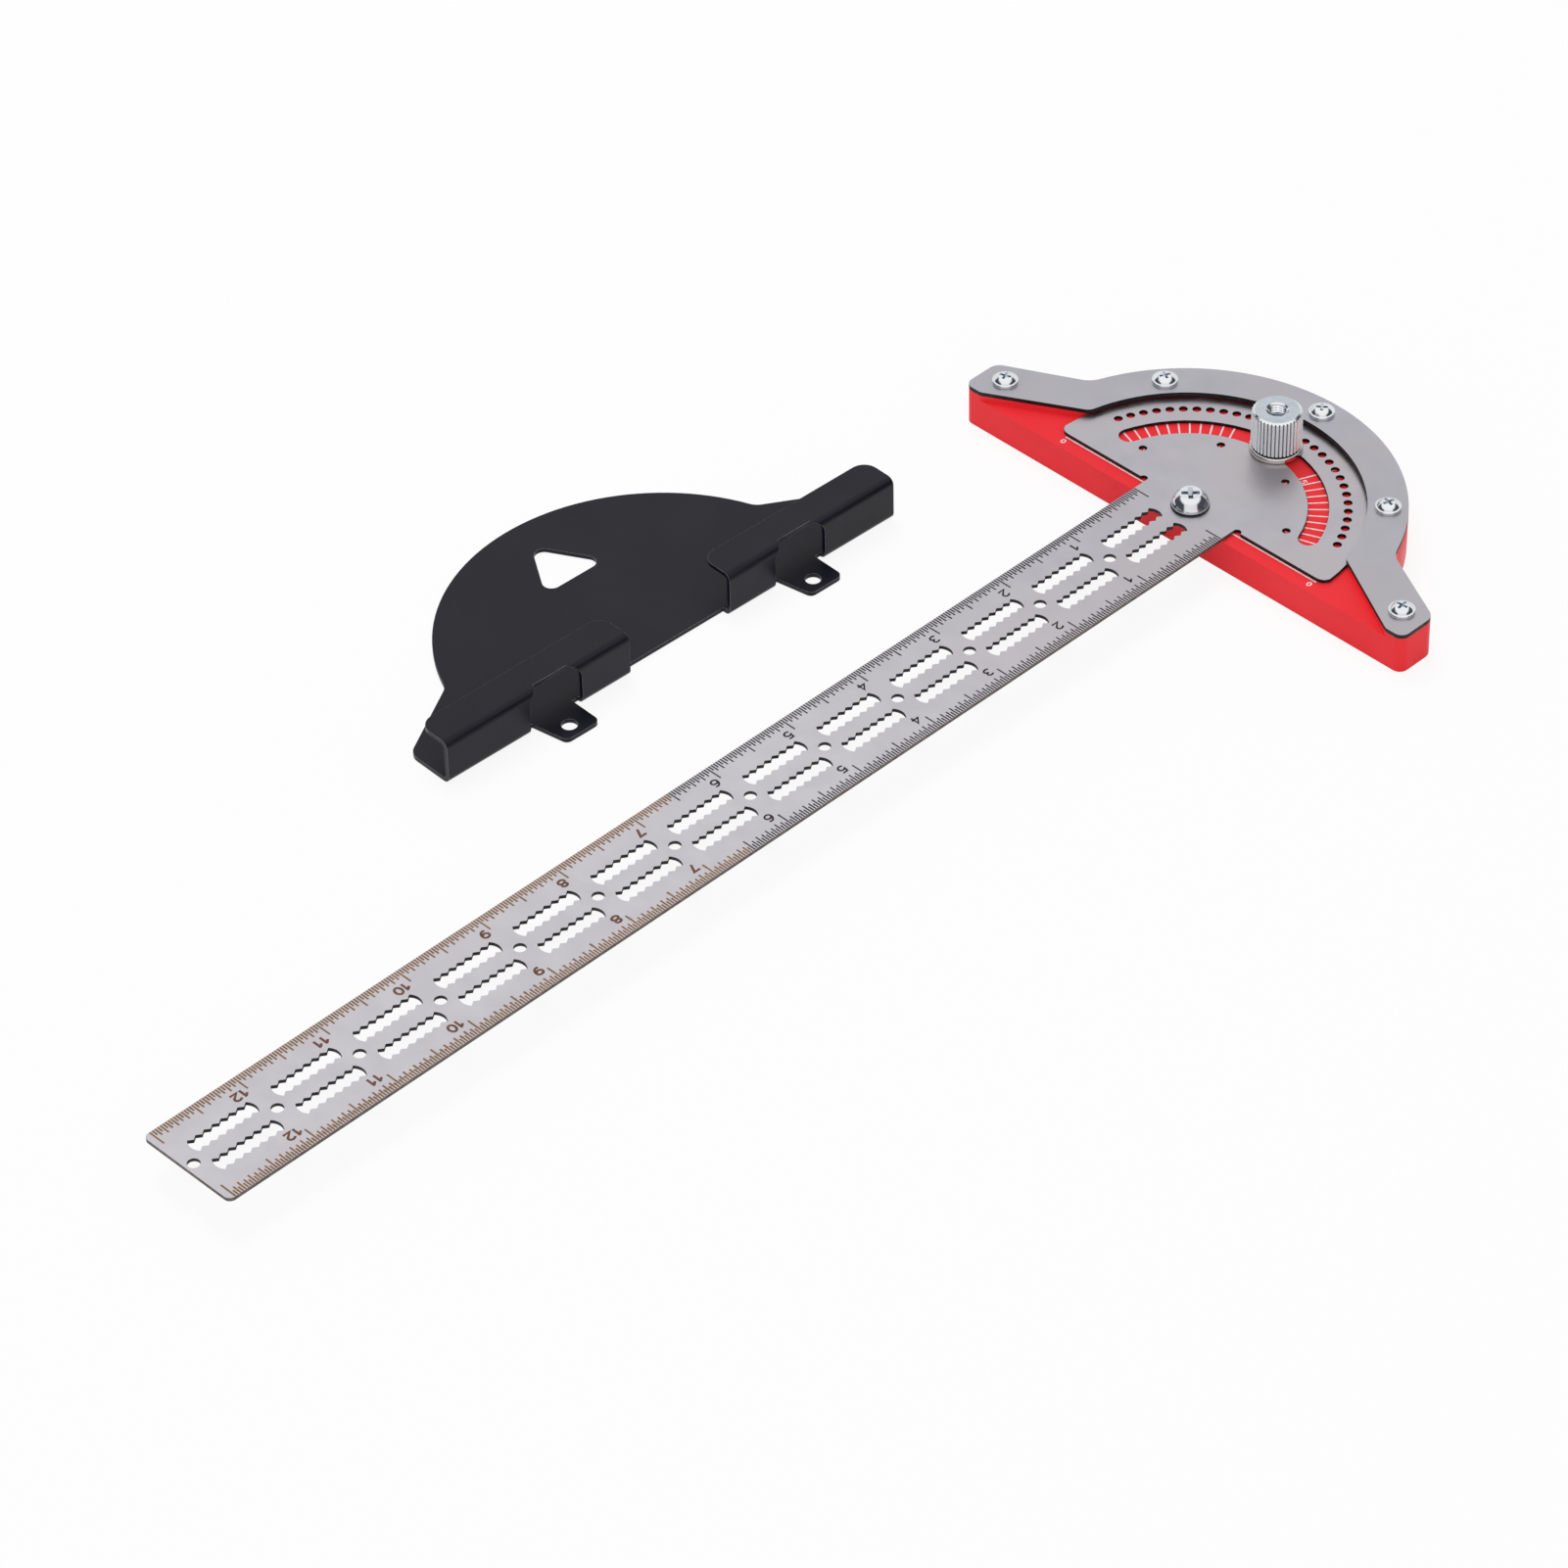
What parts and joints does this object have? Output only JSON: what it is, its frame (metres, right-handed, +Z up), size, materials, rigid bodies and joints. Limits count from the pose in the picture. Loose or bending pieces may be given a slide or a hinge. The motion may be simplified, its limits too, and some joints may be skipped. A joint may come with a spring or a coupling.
{
  "type": "angle finder",
  "caption": "Angle finder with a straight-edged head, a clamped swinging blade with pencil holes and notched slots, and its wall rack.",
  "frame": {"origin": "on the pivot axis, at the head's underside", "axes": "+X along the reference edge, +Y from the blade's tip to the round back of the head, +Z up out of the underside"},
  "size_m": [0.2006, 0.3923, 0.0226],
  "materials": {
    "red_casting": "satin red coat on an aluminium casting",
    "stainless": "fine satin, edges bare",
    "zinc": "bright zinc plate",
    "black_nylon": "matte",
    "black_sheet": "matte black coat on bent sheet steel"
  },
  "bodies": {
    "blade": {"blade": "stainless"},
    "head": {"base_body": "red_casting", "rim_plate": "stainless", "pivot_screw": "zinc", "pivot_washer": "black_nylon", "rim_screw_left_ear": "zinc", "rim_screw_left": "zinc", "rim_screw_middle": "zinc", "rim_screw_right": "zinc", "rim_screw_right_ear": "zinc", "lock_stud": "zinc"},
    "lock_washer": {"lock_washer": "zinc"},
    "lock_knob": {"lock_knob": "zinc"},
    "wall_rack": {"wall_rack": "black_sheet"}
  },
  "joints": [
    {"name": "head_swing", "type": "hinge", "parent": "blade", "child": "head", "pos_m": [0, 0, 0.0096], "axis": [0, 0, 1], "range_deg": [-70, 70]},
    {"name": "washer_rise", "type": "slide", "parent": "head", "child": "lock_washer", "axis": [0, 0, 1], "range_m": [0, 0.00165]},
    {"name": "knob_turn", "type": "hinge", "parent": "lock_washer", "child": "lock_knob", "pos_m": [0, 0.0325, 0.0116], "axis": [0, 0, 1], "range_deg": [0, 720]},
    {"name": "rack_lift", "type": "slide", "parent": "blade", "child": "wall_rack", "axis": [0, 0, 1], "range_m": [0, 0.1]}
  ],
  "couplings": [
    {"joint": "washer_rise", "follows": "knob_turn", "m_per_rad": 0.00012732}
  ]
}
